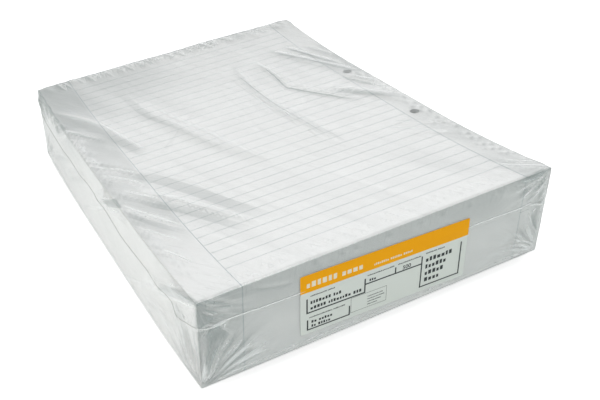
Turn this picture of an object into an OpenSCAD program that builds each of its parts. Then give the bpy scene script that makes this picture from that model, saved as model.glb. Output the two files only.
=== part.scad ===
// Pack of loose-leaf paper: ruled, punched sheets in a shrunk film, with a label on one short end.
// The origin is on the ground under the middle of the pack. X runs across the sheets, Y along them, Z up.
// The label is on the end at -Y, and the holes are along the side at +X.

/* [Sheets] */
// Width of a sheet, along X
sheet_w = 210; // [148:1:297]
// Length of a sheet, along Y
sheet_l = 297; // [210:1:420]
// Height of the pile of sheets
stack_h = 54.6; // [40:0.2:80]
// How far the ends of the pile curl up above its middle
curl = 5.7; // [1:0.1:8]
// Length of the middle of the pile that lies flat
flat_l = 90; // [40:5:130]
// How far the top sheet has slid from the bottom one, towards the holes
lean_x = 3.4; // [0:0.2:6]
// How far the top sheet has slid from the bottom one, towards the label
lean_y = 3.2; // [0:0.2:6]

/* [Filing holes] */
// Diameter of a filing hole
hole_d = 6; // [4:0.5:8]
// Distance between the two holes
hole_pitch = 80; // [60:5:120]
// From the edge of the sheet to the middle of a hole
hole_edge = 10; // [8:0.5:20]

/* [Ruling] */
// Width of the margin beside the left edge
margin_left = 24; // [10:0.5:40]
// Width of the margin beside the holes
margin_right = 16.5; // [14:0.5:40]
// Distance between two ruled lines
rule_gap = 9; // [5:0.5:12]
// From the end of the sheet at the label to the first ruled line
rule_start = 19.5; // [5:0.5:40]
// Least distance from the last ruled line to the other end of the sheet
rule_stop = 12; // [5:0.5:40]
// Width of a printed line
rule_w = 0.4; // [0.2:0.1:1]
// How far the printed lines stand up from the sheet
rule_t = 0.04; // [0.02:0.01:0.08]

/* [Film] */
// Thickness of the film
film_t = 0.2; // [0.1:0.05:0.5]
// Clearance between the film and the sheets
film_gap = 0.15; // [0.1:0.05:0.5]
// Height of the sealed seam above the lowest sheet
seam_z = 36.5; // [25:0.5:38]
// Width of the sealed seam
seam_w = 1.4; // [0.8:0.1:3]
// How far the seam stands out
seam_t = 0.5; // [0.2:0.1:1]
// Width of the widest folds
fold_w = 5; // [2:0.5:8]
// How far the widest folds stand out
fold_t = 0.9; // [0.3:0.1:2]
// Height of the crease that runs round the pack just above the ground
crease_z = 2.5; // [1.5:0.1:5]

/* [Label] */
// Width of the label
label_w = 102.5; // [60:0.5:120]
// Height of the label
label_h = 38.5; // [30:0.5:40]
// From the left edge of the pack to the label
label_x = 56; // [10:1:80]
// From the lowest sheet to the lower left corner of the label
label_z = 8.2; // [3:0.2:10]
// How far the label is turned down at its right end
label_turn = 2.3; // [0:0.1:3]
// Thickness of the label
label_t = 0.12; // [0.1:0.02:0.3]
// Radius of the label's corners
label_r = 1; // [0.5:0.5:6]
// Height of the coloured band
band_h = 11; // [5:0.2:16]
// Width of the lines that divide the label
frame_w = 0.8; // [0.3:0.1:1.2]

/* [Hidden] */
$fn = 32;
// Segments of a wide arc
arc_fn = 1440;
// How far a cutting shape reaches past what it cuts
past = 20;
// How far an added shape sinks into what carries it
sunk = 0.1;
// Clearance between the label and the film
label_gap = 0.02;
// How far the label's print stands up
print_t = 0.04;
// From the edge of the label to the frames
frame_side = 3.8;
// From the band down to the frames
frame_drop = 4.5;
// Height of a frame's short upright
frame_rise = 3.5;
// From the label's lower edge to the frames
frame_foot = 2.3;
// Where the frames divide the label's width: short box, first box, tick and last box, in shares of it
frame_across = [0.286, 0.373, 0.555, 0.716];
// Shares of the way from the frames' top to their foot: floor of the first box, top of the short box
frame_down = [0.43, 0.69];
// Stations along a long fold
fold_steps = 6;
// Stations along a short fold
short_steps = 4;
// Where the folds of a fan start, from the corner
fan_start = 6;
// From the edge of a side to the ends of its folds
fold_edge = 1;
// Angles of the lower and upper fans from the level, first and last fold
fan_angles = [[14, 70], [6, 22]];
// Reach of the lower and upper fans in shares of the seam's height
fan_reach = [0.9, 1];
// Distance between two ripples along an edge
ripple_gap = 11;
// Length of a ripple
ripple_l = 15;
// From the edge of the top to the ends of its ripples
ripple_edge = 1.5;
// How far a ripple strays from its place, in shares of the distance between two
ripple_stray = 0.18;
// How far the ripples of the ends and of the sides slant, in shares of their length
ripple_slants = [0.4, 0.7];
// Distance between two stations of the seam
seam_step = 8;
// How far the seam strays from its height
seam_wave = 0.8;
// From the edge of a side to the end of its seam
seam_edge = 0.5;
// How soon the seam reaches its full size, in steepness of its ends
seam_ease = 8;
// Degrees from one station of the seam to the next in its two waves
seam_turns = [56, 24];
// Degrees that set the length and place of each ripple apart from its neighbours'
spread = [77, 131, 61];

// How far the seam lies above its height, in shares of it, at shares of the half length of each side
seam_lift = [
    ["front", [[-1, 0.08], [-0.8, 0.04], [-0.5, 0], [0.5, -0.01], [0.9, -0.06], [1, -0.12]]],
    ["left", [
        [-1, 0.08], [-0.82, -0.11], [-0.75, 0], [-0.27, -0.07], [-0.15, -0.05], [0, 0],
        [0.8, -0.05], [1, 0]
    ]],
    ["back", [[-1, 0], [1, 0]]]
];

// Folds across the top: start and end at shares of the half width and length, and their bend, width and
// height in shares of the widest fold's
across_top = [
    [[0.27, 0.67], [0.33, -0.24], -0.6, 0.9, 1.1],
    [[0.32, 0.59], [0.42, -0.3], -0.4, 0.8, 0.6],
    [[0.45, 0.66], [0.76, -0.06], -1.8, 1.1, 1],
    [[0.61, 0.18], [0.97, -0.15], -0.2, 1.4, 1],
    [[0.62, 0.71], [0.94, 0.29], -0.2, 1.5, 1.3],
    [[0.78, 0.7], [0.96, 0.34], -0.2, 1.1, 1],
    [[0.88, 0.65], [0.97, 0.46], 0, 0.9, 0.8],
    [[0.83, 0.25], [0.96, 0.05], 0, 1.1, 0.9],
    [[-0.52, 0.71], [-0.05, -0.36], -1, 2.4, 1.8],
    [[-0.97, 0.73], [-0.65, 0.1], 0.8, 1.8, 1.5],
    [[-0.95, 0.5], [-0.79, 0.28], 0, 1.2, 0.6],
    [[-0.97, 0.15], [-0.36, -0.59], 0, 3, 1.2],
    [[-0.97, -0.05], [-0.43, -0.71], 0.4, 2, 1.6],
    [[-0.97, -0.27], [-0.53, -0.71], 0.2, 1.4, 0.8]
];

// Folds across the left side: start and end at shares of the half length and the height, then the same
across_left = [
    [[0.11, 0.6], [-0.23, 0.97], 0.2, 1.8, 1],
    [[-0.47, 0.4], [-0.97, 0.97], 0.4, 1.8, 1.4],
    [[-0.4, 0.12], [-0.8, 0.4], 0.2, 1.6, 0.7],
    [[0.62, 0.22], [0.2, 0.73], 0.2, 2, 0.7],
    [[0.89, 0.12], [0.52, 0.62], 0.2, 1.6, 0.8],
    [[0.81, 0.98], [0.77, 0.76], 0, 1.2, 1.4],
    [[0.72, 0.98], [0.68, 0.74], 0, 1.4, 1.6],
    [[0.65, 0.98], [0.61, 0.76], 0, 1.3, 1.4],
    [[-0.1, 0.98], [-0.14, 0.78], 0, 1.2, 1.2],
    [[-0.16, 0.98], [-0.2, 0.78], 0, 1.4, 1.3]
];

half_w = sheet_w / 2;
half_l = sheet_l / 2;
skin = film_gap + film_t;
climb_l = half_l - flat_l / 2;
curl_r = (climb_l * climb_l + curl * curl) / (2 * curl);
top_end_z = stack_h + curl;
lean_angle = atan(lean_y / stack_h);

// Height of a curled sheet at a distance along Y from its middle
function rise(along) =
    let (past_flat = max(abs(along) - flat_l / 2, 0))
    curl_r - sqrt(max(curl_r * curl_r - past_flat * past_flat, 0));

// Slope of a curled sheet there
function slope(along) =
    sign(along) * asin(min(max(abs(along) - flat_l / 2, 0) / curl_r, 1));

// Share of the lean at a height: -1/2 at the bottom and 1/2 at the top
function slide(z) = (z - curl / 2) / stack_h - 1 / 2;

// A point that stands out from the film by out. On the top, p is measured from the sheet's middle.
// On a side, p is along that side and up from the lowest sheet.
function on_top(p, out) =
    let (z = stack_h + rise(p[1]), a = slope(p[1]), lift = skin + out)
    [p[0] + lean_x * slide(z), p[1] - lean_y / 2 - lift * sin(a), z + lift * cos(a)];
function on_end(p, out, dir) =
    let (z = curl + p[1])
    [p[0] + lean_x * slide(z), dir * (half_l + skin + out) - lean_y * slide(z), z];
function on_side(p, out, dir) =
    let (z = rise(p[0]) + p[1])
    [dir * (half_w + skin + out) + lean_x * slide(z), p[0] - lean_y * slide(z), z];
function place(face, p, out) =
    face == "top" ? on_top(p, out)
    : face == "front" ? on_end(p, out, -1)
    : face == "back" ? on_end(p, out, 1)
    : face == "left" ? on_side(p, out, -1)
    : on_side(p, out, 1);

// Sets the pack on the ground: everything is drawn with the lowest sheet at zero, and the film is below it
module stand()
{
    translate([0, 0, skin])
        children();
}

// The space below a curled sheet, in the YZ plane
module below_sheet(z, r)
{
    deep = stack_h + 3 * past;
    translate([-flat_l / 2, z - deep])
        square([flat_l, deep]);
    for (side = [0, 1])
        mirror([side, 0])
            translate([flat_l / 2, z])
                difference() {
                    translate([0, -deep])
                        square([climb_l + past, deep + curl + past]);
                    translate([0, r])
                        circle(r, $fn = arc_fn);
                }
}

// The pile as a block, larger by grow on every side
module pile(grow)
{
    intersection() {
        rotate([90, 0, 90])
            linear_extrude(sheet_w + 2 * past, center = true)
                difference() {
                    translate([-lean_y / 2, 0])
                        below_sheet(stack_h + grow, curl_r - grow);
                    translate([lean_y / 2, 0])
                        below_sheet(-grow, curl_r + grow);
                }
        rotate([90, 0, 90])
            linear_extrude(sheet_w + 2 * past, center = true)
                leaning_strip(half_l + grow, -lean_y);
        rotate([90, 0, 0])
            linear_extrude(sheet_l + 2 * past, center = true)
                leaning_strip(half_w + grow, lean_x);
    }
}

// An upright strip whose sides lean as the pile does
module leaning_strip(half, lean)
{
    low = -past;
    high = top_end_z + past;
    polygon([
        [lean * slide(low) - half, low], [lean * slide(low) + half, low],
        [lean * slide(high) + half, high], [lean * slide(high) - half, high]
    ]);
}

// The two filing holes, which lean with the pile
module filing_holes()
{
    for (side = [-1, 1])
        translate([half_w - hole_edge, side * hole_pitch / 2, stack_h / 2])
            rotate([lean_angle, atan(lean_x / stack_h), 0])
                cylinder(h = stack_h + 2 * past, d = hole_d, center = true);
}

// A thin upright wall that leans with the pile, to mark where a line is printed
module line_wall(lean)
{
    leaning_strip(rule_w / 2, lean);
}

// The printed lines: margins from end to end, and ruled lines between them
module ruling()
{
    left = margin_left - half_w;
    right = half_w - margin_right;
    lines = floor((sheet_l - rule_start - rule_stop) / rule_gap);
    intersection() {
        pile(rule_t);
        union() {
            for (x = [left, right])
                translate([x, 0, 0])
                    rotate([90, 0, 0])
                        linear_extrude(sheet_l + 2 * past, center = true)
                            line_wall(lean_x);
            intersection() {
                translate([(left + right) / 2, 0, 0])
                    rotate([90, 0, 0])
                        linear_extrude(sheet_l, center = true)
                            leaning_strip((right - left) / 2, lean_x);
                for (i = [0 : lines])
                    translate([0, rule_start - half_l + i * rule_gap, 0])
                        rotate([90, 0, 90])
                            linear_extrude(sheet_w, center = true)
                                line_wall(-lean_y);
            }
        }
    }
}

module sheets()
{
    difference() {
        union() {
            color("white")
                pile(0);
            color("lightsteelblue")
                ruling();
        }
        color("white")
            filing_holes();
    }
}

// A ridge of the film along a path on one face, which fades out at both ends
module ridge(face, path, w, t, ease = 1)
{
    last = len(path) - 1;
    rings = [
        for (i = [1 : last - 1])
            let (
                swell = min(1, ease * sin(180 * i / last)),
                run = path[i + 1] - path[i - 1],
                across = [-run[1], run[0]] / norm(run) * w / 2 * swell
            )
            [
                place(face, path[i] - across, -sunk),
                place(face, path[i], t * swell),
                place(face, path[i] + across, -sunk)
            ]
    ];
    points = concat(
        [place(face, path[0], -sunk)],
        [for (ring = rings) each ring],
        [place(face, path[last], -sunk)]
    );
    tip = len(points) - 1;
    faces = concat(
        [for (j = [0 : 2]) [0, 1 + j, 1 + (j + 1) % 3]],
        [for (i = [0 : last - 3], j = [0 : 2])
            let (p = 1 + 3 * i + j, q = 1 + 3 * i + (j + 1) % 3)
            each [[p, p + 3, q + 3], [p, q + 3, q]]],
        [for (j = [0 : 2]) [tip, tip - 3 + (j + 1) % 3, tip - 3 + j]]
    );
    mirrored = face == "left" || face == "back";
    polyhedron(points, mirrored ? faces : [for (f = faces) [f[0], f[2], f[1]]]);
}

// A fold from a to b, bowed sideways. Bend and size are given in shares of the widest fold's size.
module fold(face, a, b, bend = 0, wide = 1, high = 1, steps = fold_steps)
{
    run = b - a;
    across = [-run[1], run[0]] / norm(run);
    path = [for (i = [0 : steps]) a + run * i / steps + across * fold_w * bend * sin(180 * i / steps)];
    ridge(face, path, fold_w * wide, fold_t * high);
}

// The folds of a list on one face. Full holds the two lengths of which the list gives shares.
module folds(face, list, full)
{
    for (f = list)
        fold(
            face, [f[0][0] * full[0], f[0][1] * full[1]], [f[1][0] * full[0], f[1][1] * full[1]],
            f[2], f[3], f[4]
        );
}

// Short folds that spread from a corner of a side. Angles are measured from the corner's own edge.
module fan(face, corner, first, last, count, reach)
{
    wide = 0.7;
    bend = 0.2;
    shorter = 0.3;
    for (i = [0 : count - 1]) {
        angle = first + (last - first) * i / (count - 1);
        away = [cos(angle), sin(angle)];
        far = reach * (1 - shorter * (i % 2));
        fold(face, corner + away * fan_start, corner + away * far, bend, wide, wide, short_steps);
    }
}

// Short ripples where the film turns over the edges of the top
module edge_ripples()
{
    far = half_l - ripple_edge;
    side_x = half_w - ripple_edge;
    uneven = 0.25;
    far_size = [0.8, 0.6];
    near_size = [0.5, 0.3];
    side_size = [0.6, 0.5];
    for (i = [1 : floor(sheet_w / ripple_gap) - 2]) {
        x = ripple_gap * (i + ripple_stray * sin(i * spread[0])) - half_w;
        long = ripple_l * (1 + uneven * sin(i * spread[1]));
        slant = long * ripple_slants[0];
        near = [x + slant / 2, long / 2 - far];
        fold("top", [x, far], [x + slant, far - long], 0, far_size[0], far_size[1], short_steps);
        fold("top", [x, -far], near, 0, near_size[0], near_size[1], short_steps);
    }
    for (side = [-1, 1], i = [1 : floor(sheet_l / ripple_gap / 2) - 1]) {
        y = half_l - 2 * ripple_gap * (i + ripple_stray * sin(i * spread[2] * side));
        long = ripple_l * (1 + uneven * sin(i * spread[0]));
        outer = [side * side_x, y];
        inner = [side * (side_x - long * ripple_slants[1]), y - long];
        fold("top", outer, inner, 0, side_size[0], side_size[1], short_steps);
    }
}

// The sealed seam along one side: a bead with a slight wave
module seam(face, from, to)
{
    half = face == "left" ? half_l : half_w;
    lifts = seam_lift[search([face], seam_lift)[0]][1];
    steps = max(short_steps, round(abs(to - from) / seam_step));
    path = [
        for (i = [0 : steps])
            let (
                along = from + (to - from) * i / steps,
                turns = seam_turns * along / seam_step,
                wave = seam_wave * sin(turns[0]) * sin(turns[1])
            )
            [along, seam_z * (1 + lookup(along / half, lifts)) + wave]
    ];
    ridge(face, path, seam_w, seam_t, seam_ease);
}

// The film is centre-folded, so its seam runs along three sides. Under the label it lies flat.
module seams()
{
    label_from = label_x - half_w - seam_w;
    label_to = label_x - half_w + label_w + seam_w;
    end_x = half_w - seam_edge;
    end_y = half_l - seam_edge;
    seam("front", -end_x, label_from);
    seam("front", label_to, end_x);
    seam("left", -end_y, end_y);
    seam("back", -end_x, end_x);
}

// The crease just above the ground, and the folds that spread over the sides from the pack's corners
module corner_folds()
{
    crease = [0.35, 0.4];
    counts = [4, 2];
    label_count = 6;
    for (face = ["front", "back", "left", "right"]) {
        end = ((face == "front" || face == "back") ? half_w : half_l) - fold_edge;
        fold(face, [-end, crease_z], [end, crease_z], 0, crease[0], crease[1]);
        for (side = [-1, 1]) {
            base = side < 0 ? [0, 0] : [180, 180];
            low = base - side * fan_angles[0];
            high = base + side * fan_angles[1];
            low_count = face == "front" && side < 0 ? label_count : counts[0];
            top_corner = [side * end, stack_h - fold_edge];
            fan(face, [side * end, fold_edge], low[0], low[1], low_count, seam_z * fan_reach[0]);
            fan(face, top_corner, high[0], high[1], counts[1], seam_z * fan_reach[1]);
        }
    }
}

module film()
{
    color("lightgray", 0.5)
        difference() {
            union() {
                pile(skin);
                folds("top", across_top, [half_w, half_l]);
                folds("left", across_left, [half_l, stack_h]);
                edge_ripples();
                corner_folds();
                seams();
            }
            pile(film_gap);
        }
}

// The label's outline
module label_outline()
{
    translate([label_r, 0])
        square([label_w - 2 * label_r, label_h]);
    translate([0, label_r])
        square([label_w, label_h - 2 * label_r]);
    for (x = [label_r, label_w - label_r], y = [label_r, label_h - label_r])
        translate([x, y])
            circle(label_r);
}

// Puts what is drawn flat on the front of the film, standing out by out
module on_front(out)
{
    z = curl + label_z;
    translate([label_x - half_w + lean_x * slide(z), -half_l - skin - out - lean_y * slide(z), z])
        rotate([90 + lean_angle, 0, 0])
            rotate([0, 0, -label_turn])
                children();
}

// An upright or level line of the label's frames, from one corner point to the next
module frame_line(a, b)
{
    low = [min(a[0], b[0]), min(a[1], b[1])] - [frame_w, frame_w] / 2;
    high = [max(a[0], b[0]), max(a[1], b[1])] + [frame_w, frame_w] / 2;
    translate(low)
        square(high - low);
}

// A frame line through several points
module frame_path(points)
{
    for (i = [1 : len(points) - 1])
        frame_line(points[i - 1], points[i]);
}

// The frames that divide the label's white part: open boxes below the band
module label_frames()
{
    top = label_h - band_h - frame_drop;
    levels = [for (share = frame_down) top - (top - frame_foot) * share];
    level = top - frame_rise;
    left = frame_side;
    right = label_w - frame_side;
    xs = label_w * frame_across;
    foot = frame_foot + frame_w;
    frame_path([[left, top], [left, levels[0]], [xs[1], levels[0]], [xs[1], top]]);
    frame_path([[left, levels[1]], [left, frame_foot], [xs[0], frame_foot], [xs[0], levels[1]]]);
    frame_path([[xs[1], level], [xs[3], level]]);
    frame_path([[xs[2], level], [xs[2], top]]);
    frame_path([[xs[3], top], [xs[3], foot], [right, foot], [right, top]]);
}

// A field of the label's print
module print_field(paint)
{
    color(paint)
        on_front(label_gap + label_t / 2)
            linear_extrude(label_t / 2 + print_t)
                children();
}

module label()
{
    color("whitesmoke")
        on_front(label_gap)
            linear_extrude(label_t)
                label_outline();
    print_field("orange")
        intersection() {
            label_outline();
            translate([0, label_h - band_h])
                square([label_w, band_h]);
        }
    print_field("dimgray")
        label_frames();
}

stand() sheets();
stand() film();
stand() label();
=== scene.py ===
import math

import bmesh
import bpy
import numpy as np
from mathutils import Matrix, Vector


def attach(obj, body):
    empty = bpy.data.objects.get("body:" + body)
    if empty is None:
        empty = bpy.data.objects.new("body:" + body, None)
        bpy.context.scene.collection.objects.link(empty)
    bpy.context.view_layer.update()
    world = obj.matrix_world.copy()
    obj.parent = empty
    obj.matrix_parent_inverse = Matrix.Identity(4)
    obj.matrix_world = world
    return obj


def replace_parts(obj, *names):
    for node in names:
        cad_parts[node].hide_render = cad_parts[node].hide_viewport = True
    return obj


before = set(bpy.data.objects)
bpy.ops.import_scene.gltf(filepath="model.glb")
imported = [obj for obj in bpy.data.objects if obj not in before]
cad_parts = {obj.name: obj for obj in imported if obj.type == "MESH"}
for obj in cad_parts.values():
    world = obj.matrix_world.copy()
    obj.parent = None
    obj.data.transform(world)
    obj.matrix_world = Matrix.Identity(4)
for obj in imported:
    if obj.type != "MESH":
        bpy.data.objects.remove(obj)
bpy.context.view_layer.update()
bpy.ops.object.select_all(action="DESELECT")

MM = 0.001

# The pile of sheets, as in the part's source
SHEET_W, SHEET_L, STACK_H = 210.0, 297.0, 54.6
CURL, FLAT_L = 5.7, 90.0
LEAN_X, LEAN_Y = 3.4, 3.2
HALF_W, HALF_L = SHEET_W / 2, SHEET_L / 2
CLIMB_L = HALF_L - FLAT_L / 2
CURL_R = (CLIMB_L**2 + CURL**2) / (2 * CURL)
LEAN_ANGLE = math.atan(LEAN_Y / STACK_H)

# The ruling
MARGIN_LEFT, MARGIN_RIGHT = 24.0, 16.5
RULE_GAP, RULE_START, RULE_COUNT = 9.0, 19.5, 30
RULE_W, MARGIN_W, RULE_LIFT, RULE_STEP = 0.28, 0.4, 0.05, 6
HOLE_D, HOLE_PITCH, HOLE_EDGE = 6.0, 80.0, 10.0

# The film: its rounded edges, the cuts along each axis and how they crowd at the ends. Faces that meet at
# less than SMOOTH_UP_TO degrees are shaded as one surface.
SKIN, EDGE_R = 0.35, 1.0
FILM_CUTS, CROWDING = (160, 228, 42), (0.35, 0.3)
SMOOTH_UP_TO = 62
LONG_EDGE, SAME = 20, 0.01

# The seam: its height under the label, the radius of its bead, and how many times as wide it is on the
# label's end and elsewhere
SEAM_Z, SEAM_R, SEAM_WAVE, SEAM_STEPS = 36.5, 0.22, 0.25, 24
SEAM_WIDE, SEAM_THIN = 1.4, 0.8

# The label, the small gaps under it and between its layers, and the squares that it is cut into
LABEL_W, LABEL_H, LABEL_T, LABEL_R = 102.5, 38.5, 0.12, 1.0
LABEL_X, LABEL_Z, LABEL_TURN, LABEL_DROP = 56.0, 8.2, 2.3, 2.0
LABEL_GAP, LAYER_GAP, LABEL_STEP = 0.02, 0.004, 2.5


# Places on the pack


def rise(v):
    """How far a sheet has curled up at a distance v along it from its middle."""
    past = np.maximum(np.abs(v) - FLAT_L / 2, 0)
    return CURL_R - np.sqrt(np.maximum(CURL_R**2 - past**2, 0))


def slide(z):
    """Share of the lean at a height: -1/2 at the bottom and 1/2 at the top."""
    return (z - CURL / 2) / STACK_H - 0.5


def leaned(u, v, t):
    """From the straight block (u across, v along, t up) to the curled, leaning pack on the ground."""
    z = t + rise(v)
    share = slide(z)
    return np.stack([u + LEAN_X * share, v - LEAN_Y * share, z + SKIN], -1)


def smooth(x):
    """A soft step from 0 to 1."""
    x = np.clip(x, 0, 1)
    return x * x * (3 - 2 * x)


def random_field(a, b, cell_a, cell_b, seed):
    """Smooth random heights from -1 to 1, on a lattice with cells of the given size."""
    size = 256
    lattice = np.random.default_rng(seed).uniform(-1, 1, (size, size))
    x, y = a / cell_a + size / 2, b / cell_b + size / 2
    i, j = np.floor(x).astype(int), np.floor(y).astype(int)
    fx, fy = smooth(x - i), smooth(y - j)

    def row(j):
        return lattice[i % size, j % size] * (1 - fx) + lattice[(i + 1) % size, j % size] * fx

    return row(j) * (1 - fy) + row(j + 1) * fy


def way_of(angle):
    """The cosine and the sine of an angle in degrees."""
    return math.cos(math.radians(angle)), math.sin(math.radians(angle))


def grain(a, b, angle, long, short, seed):
    """A random field stretched along a direction, given in degrees from the first axis."""
    c, s = way_of(angle)
    return random_field(a * c + b * s, b * c - a * s, long, short, seed)


# Folds of the film


def curve_through(points, per_leg=10):
    """Places along a smooth curve through the points."""
    p = np.array(points, float)
    p = np.vstack([2 * p[0] - p[1], p, 2 * p[-1] - p[-2]])
    out = []
    for k in range(1, len(p) - 2):
        s = np.linspace(0, 1, per_leg, endpoint=False)[:, None]
        a, b, c, d = p[k - 1], p[k], p[k + 1], p[k + 2]
        square, cube = 2 * a - 5 * b + 4 * c - d, 3 * b - a - 3 * c + d
        out.append(0.5 * (2 * b + (c - a) * s + square * s**2 + cube * s**3))
    return np.vstack(out + [p[-2][None]])


# Thin creases, painted into the film as light and shade, in groups whose members stay apart: group, path,
# half width and strength. Groups 0 to 2 are painted dark lines between painted light flanks, 3 and 4 painted
# highlight lines with a painted dark side, 5 painted dark strips with clear edges, and 6 and 7 thin painted
# highlights. A negative strength changes the sides over. A path on the top is in u and v, on the left side
# in v and t, and on the label's end in u and t.
GROUPS, STRIP_GROUP = 8, 5
STRIP_FADE, LINE_FADE = 0.35, 0.2
TOP_PAINTED_CREASES = (
    (0, ((28.3, 99), (27.6, 60), (27.6, 20), (31, -12), (34.7, -44)), 3.0, 1.0),
    (2, ((31.5, 98), (30.2, 84), (28.8, 66)), 2.2, -0.7),
    (2, ((31.5, 20), (33.5, -8), (39.5, -54)), 2.6, 0.6),
    (2, ((24.0, 70), (24.0, 30), (26.0, -8)), 3.0, 0.3),
    (1, ((46.7, 104), (49.5, 72), (47.6, 44), (48.6, 40), (55.3, 27), (65.3, 10), (80, -12)), 3.6, -1.1),
    (5, ((60.0, 29), (76, 11), (90, -4), (108, -26)), 6.0, 1.2),
    (7, ((63.0, 27), (79, 12), (96, -3), (106, -12)), 1.6, 0.6),
    (3, ((64.0, 110), (79.0, 84), (96.0, 50), (102, 36)), 3.8, 1.3),
    (4, ((79.0, 108), (88.5, 82), (100.0, 52)), 3.6, 1.3),
    (3, ((92.5, 100), (98.0, 86), (103.0, 72)), 3.2, 0.9),
    (3, ((87.0, 34), (94.0, 17), (102.0, 6)), 3.4, 0.8),
    (4, ((93.0, 32), (98.0, 22), (104.0, 12)), 2.6, 0.7),
    (5, ((-54.5, 118), (-50, 67), (-39.7, 35), (-24, -20)), 5.5, 0.7),
    (7, ((-46.0, 90), (-34, 46), (-24, 8), (-8.0, -58)), 4.5, 0.36),
    (3, ((-106, 112), (-93, 93), (-83, 73), (-77, 52), (-69.0, 14)), 5.0, 0.5),
    (5, ((-89, 3), (-77, -18), (-63.5, -44.7), (-50, -75), (-38, -103)), 9.0, 1.0),
    (5, ((-94, -34), (-86, -48), (-76, -62), (-62, -88), (-50, -110)), 5.5, 0.75),
    (5, ((-105, -42), (-96, -62), (-80, -90)), 4.0, 0.5),
    (6, ((-92, -22), (-76, -46), (-62, -70), (-46, -104)), 6.0, 0.5),
    (6, ((-106, 82), (-98, 70), (-88, 52)), 2.0, 1.0),
    (7, ((-104, 19), (-91, 5), (-81, -10)), 2.0, 1.2),
    (6, ((-103, 5), (-93, -6), (-82, -24)), 1.8, 1.1),
    (7, ((-97, -20), (-90, -32), (-81, -46)), 2.0, 1.2),
    (6, ((-102, -40), (-93, -56), (-81, -78)), 1.6, 1.2),
    (7, ((-104, -34), (-95, -50), (-84, -68)), 1.6, 1.0),
    (6, ((-103, -62), (-96, -76), (-88, -90)), 1.6, 0.9),
    (7, ((-100, -92), (-95, -104), (-91, -116)), 1.4, 0.8),
    (5, ((-84, 66), (-79, 42), (-74, 24), (-68, 6)), 6.0, 0.6),
    (6, ((86, -125), (97, -137), (108, -150)), 1.5, 1.9),
    (7, ((93, -125), (101, -134), (109, -145)), 1.4, 1.4),
    (6, ((68, -48), (82, -62), (96, -80)), 4.0, 0.5),
    (7, ((76, -42), (90, -56), (106, -68)), 3.0, 0.5),
    (6, ((94, 58), (98, 51), (103, 44)), 1.3, 2.0),
    (6, ((95, 30), (98.5, 23), (103, 14)), 1.3, 2.0),
    (6, ((96, 13), (99.5, 7), (103, 0)), 1.3, 2.0),
    (2, ((-66, 4), (-40, 30), (-13, 57)), 1.3, 0.35),
)
LEFT_PAINTED_CREASES = (
    (5, ((-54, 65), (-36, 57), (-24, 51), (-8, 43), (14, 31)), 5.0, 2.2),
    (7, ((-44, 55), (-22, 46), (-4, 37), (20, 24)), 3.2, 0.8),
    (5, ((-82, 29), (-112, 42), (-130, 50), (-170, 65)), 6.5, 2.4),
    (6, ((-72, 22), (-100, 33), (-126, 44), (-150, 53)), 3.0, 0.9),
    (6, ((56, 6), (30, 20), (8.7, 31), (-24, 52)), 4.5, 0.5),
    (7, ((-30, 2), (-56, 13), (-88, 31), (-104, 40)), 4.0, 0.6),
    (5, ((72, 63), (93, 50), (112, 40)), 4.8, 1.8),
    (5, ((106, 62), (122, 51), (138, 42)), 4.8, 1.6),
    (5, ((126, 54), (141, 42), (158, 33)), 6.5, 2.0),
    (6, ((70, 56), (88, 45), (104, 36)), 3.0, 0.7),
    (7, ((100, 57), (114, 47), (128, 38)), 3.0, 0.8),
    (7, ((-96, 16), (-118, 9), (-140, 2)), 2.6, 1.0),
    (6, ((-104, 22), (-124, 13), (-144, 3)), 2.2, 1.0),
    (7, ((-112, 26), (-130, 16), (-146, 5)), 2.0, 0.9),
    (5, ((-98, 12), (-118, 6), (-136, 1)), 2.4, 0.8),
    (6, ((-122, 12), (-127, 8.5), (-133, 5)), 2.0, 1.6),
)
FRONT_PAINTED_CREASES = (
    (6, ((-105, 4), (-103, 18), (-99, 33)), 1.3, 1.2),
    (5, ((-104, 4), (-100, 17), (-95, 32)), 2.6, 1.2),
    (7, ((-104, 3), (-99, 16), (-92, 30)), 1.5, 1.5),
    (3, ((-103, 3), (-96, 15), (-86, 28)), 2.4, 1.4),
    (6, ((-103, 2), (-94, 12), (-81, 23)), 1.4, 1.4),
    (4, ((-102, 2), (-91, 9), (-76, 18)), 2.4, 1.2),
    (7, ((-101, 1), (-88, 6), (-70, 12)), 1.3, 1.0),
    (3, ((-104, 55), (-97, 50), (-86, 46)), 2.2, 1.2),
    (4, ((-104, 49), (-97, 45), (-90, 42)), 2.2, 1.0),
    (6, ((-105, 30), (-99, 38), (-92, 34), (-87, 28)), 1.6, 1.2),
    (3, ((104, 50), (98, 42), (90, 37)), 2.2, 1.0),
    (6, ((104, 44), (99, 34), (96, 26)), 1.5, 1.2),
    (4, ((104, 12), (98, 22), (95, 32)), 2.2, 0.9),
    (7, ((103, 4), (96, 10), (86, 15)), 1.5, 1.0),
    (7, ((-110, 39.2), (-101, 37.8), (-92, 38.8), (-84, 38.0), (-50, 36.8), (54, 36.4)), 1.5, 1.5),
    (6, ((-106, 38), (-100, 39.6), (-94, 37.6), (-86, 38.6)), 1.6, 1.6),
    (7, ((40, 36.3), (60, 36.2), (78, 35.6), (96, 34.4), (112, 31.0)), 1.5, 1.5),
    (6, ((84, 34.4), (92, 35.8), (99, 33.2), (106, 33.0)), 1.6, 1.5),
)


def faded(share, fade):
    """1 along a path and 0 at its two ends, each of which takes the given share of the way."""
    return smooth(share / fade) * smooth((1 - share) / fade)


def spaced(draw, count, start, step, stray, shortest, longest):
    """Places along a row of small folds, each with the length of its fold."""
    for k in range(count):
        place = start + step * k + draw.uniform(-stray, stray)
        yield place, draw.uniform(shortest, longest)


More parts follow.
